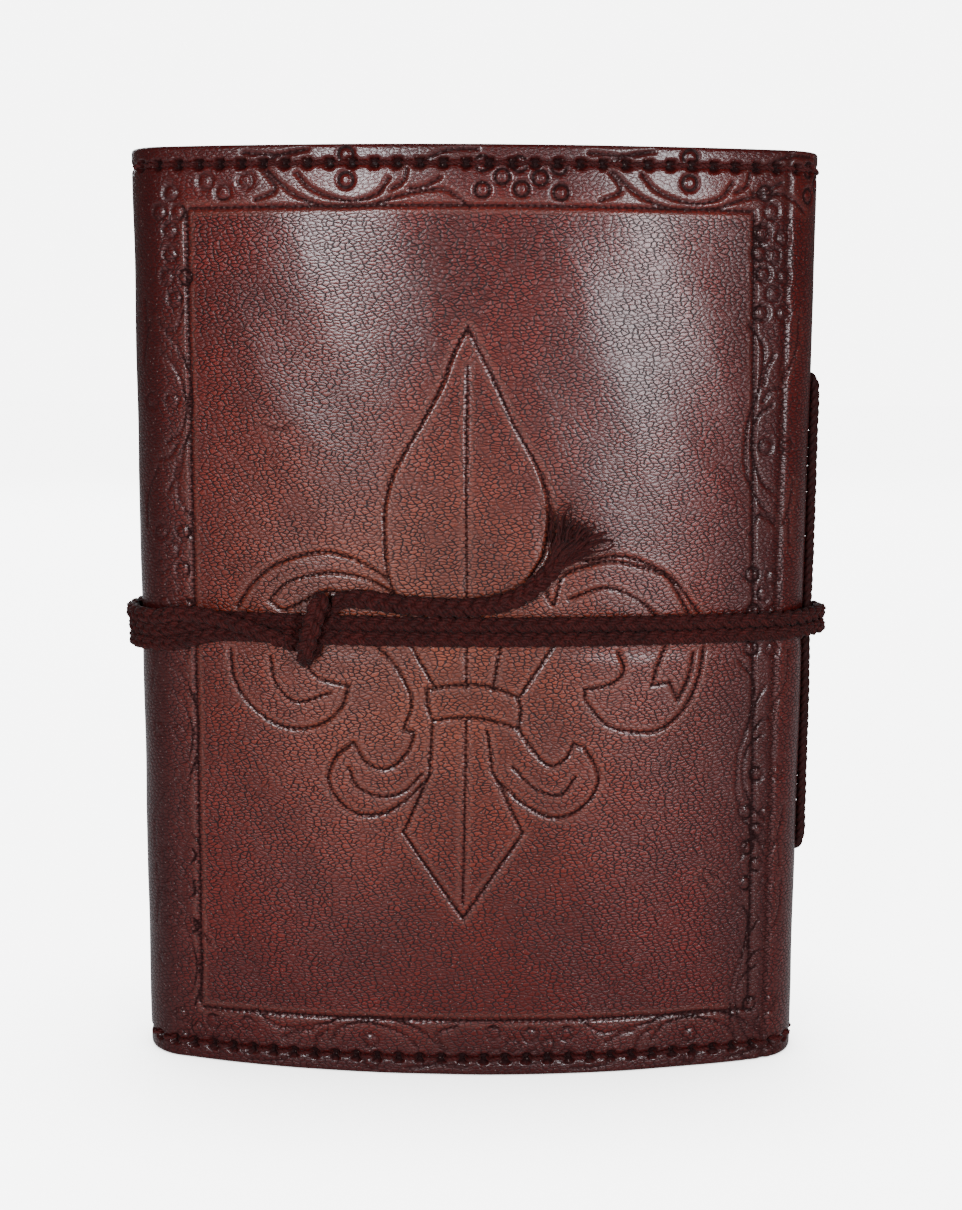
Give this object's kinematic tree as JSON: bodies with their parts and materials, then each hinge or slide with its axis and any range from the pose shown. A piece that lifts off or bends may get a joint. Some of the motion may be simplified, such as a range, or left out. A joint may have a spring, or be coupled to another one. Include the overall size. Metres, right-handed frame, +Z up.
{
  "type": "leather journal",
  "caption": "Leather-bound journal with an embossed front cover, stitched edges, corded spine and a wound tie cord",
  "frame": {"origin": "middle of the closed journal's box, at its bottom edge, the tie cord left out", "axes": "+Z up along the spine, -Y out of the front cover, +X towards the spine"},
  "size_m": [0.1391, 0.0466, 0.178],
  "materials": {
    "leather": "red-brown pull-up leather, pebbled grain, waxed, burnished dark at the edges",
    "lining": "thin brown skiver leather, matt",
    "stitching_thread": "waxed dark red thread",
    "paper": "handmade cotton paper, cream, soft fibres",
    "sewing_thread": "undyed linen thread",
    "binding_cord": "dark maroon plaited cotton",
    "tie_cord": "dark maroon plaited cotton"
  },
  "bodies": {
    "back_cover": {"back_cover_leather": "leather", "back_cover_lining": "lining", "back_cover_stitching_top": "stitching_thread", "back_cover_stitching_bottom": "stitching_thread"},
    "spine": {"spine_leather": "leather", "spine_lining": "lining", "spine_stitching_top": "stitching_thread", "spine_stitching_bottom": "stitching_thread", "binding_cord": "binding_cord", "binding_cord_knot": "binding_cord"},
    "front_cover": {"front_cover_leather": "leather", "front_cover_lining": "lining", "front_cover_stitching_top": "stitching_thread", "front_cover_stitching_bottom": "stitching_thread"},
    "section_1": {"page_section_1": "paper", "section_thread_1": "sewing_thread"},
    "section_2": {"page_section_2": "paper", "section_thread_2": "sewing_thread"},
    "section_3": {"page_section_3": "paper", "section_thread_3": "sewing_thread"},
    "section_4": {"page_section_4": "paper", "section_thread_4": "sewing_thread"},
    "section_5": {"page_section_5": "paper", "section_thread_5": "sewing_thread"},
    "section_6": {"page_section_6": "paper", "section_thread_6": "sewing_thread"},
    "tie_cord": {"tie_cord_windings": "tie_cord", "tie_cord_hitch": "tie_cord", "tie_cord_tail": "tie_cord", "tie_cord_frayed_end": "tie_cord", "tie_cord_start_knot": "tie_cord"}
  },
  "joints": [
    {"name": "back_hinge", "type": "hinge", "parent": "back_cover", "child": "spine", "pos_m": [0.05683, 0.01001, 0.089], "axis": [0, 0, 1], "range_deg": [0, 90]},
    {"name": "front_hinge", "type": "hinge", "parent": "spine", "child": "front_cover", "pos_m": [0.05683, -0.01001, 0.089], "axis": [0, 0, 1], "range_deg": [0, 90]},
    {"name": "section_1_fold", "type": "hinge", "parent": "spine", "child": "section_1", "pos_m": [0.05666, 0.0055, 0.089], "axis": [0, 0, 1], "range_deg": [-41, 0]},
    {"name": "section_2_fold", "type": "hinge", "parent": "spine", "child": "section_2", "pos_m": [0.05666, 0.0033, 0.089], "axis": [0, 0, 1], "range_deg": [-25, 0]},
    {"name": "section_3_fold", "type": "hinge", "parent": "spine", "child": "section_3", "pos_m": [0.05666, 0.0011, 0.089], "axis": [0, 0, 1], "range_deg": [-8, 0]},
    {"name": "section_4_fold", "type": "hinge", "parent": "spine", "child": "section_4", "pos_m": [0.05666, -0.0011, 0.089], "axis": [0, 0, 1], "range_deg": [0, 8]},
    {"name": "section_5_fold", "type": "hinge", "parent": "spine", "child": "section_5", "pos_m": [0.05666, -0.0033, 0.089], "axis": [0, 0, 1], "range_deg": [0, 25]},
    {"name": "section_6_fold", "type": "hinge", "parent": "spine", "child": "section_6", "pos_m": [0.05666, -0.0055, 0.089], "axis": [0, 0, 1], "range_deg": [0, 41]},
    {"name": "tie_cord_slide", "type": "slide", "parent": "back_cover", "child": "tie_cord", "axis": [0, 0, 1], "range_m": [0, 0.105], "deforming": ["tie_cord_windings", "tie_cord_hitch", "tie_cord_tail", "tie_cord_frayed_end", "tie_cord_start_knot"]}
  ],
  "couplings": [
    {"joint": "front_hinge", "follows": "back_hinge", "ratio": 1},
    {"joint": "section_1_fold", "follows": "back_hinge", "ratio": -0.45556},
    {"joint": "section_2_fold", "follows": "back_hinge", "ratio": -0.27778},
    {"joint": "section_3_fold", "follows": "back_hinge", "ratio": -0.088889},
    {"joint": "section_4_fold", "follows": "back_hinge", "ratio": 0.088889},
    {"joint": "section_5_fold", "follows": "back_hinge", "ratio": 0.27778},
    {"joint": "section_6_fold", "follows": "back_hinge", "ratio": 0.45556},
    {"joint": "tie_cord_slide", "follows": "back_hinge", "m_per_rad": 0.066795}
  ]
}
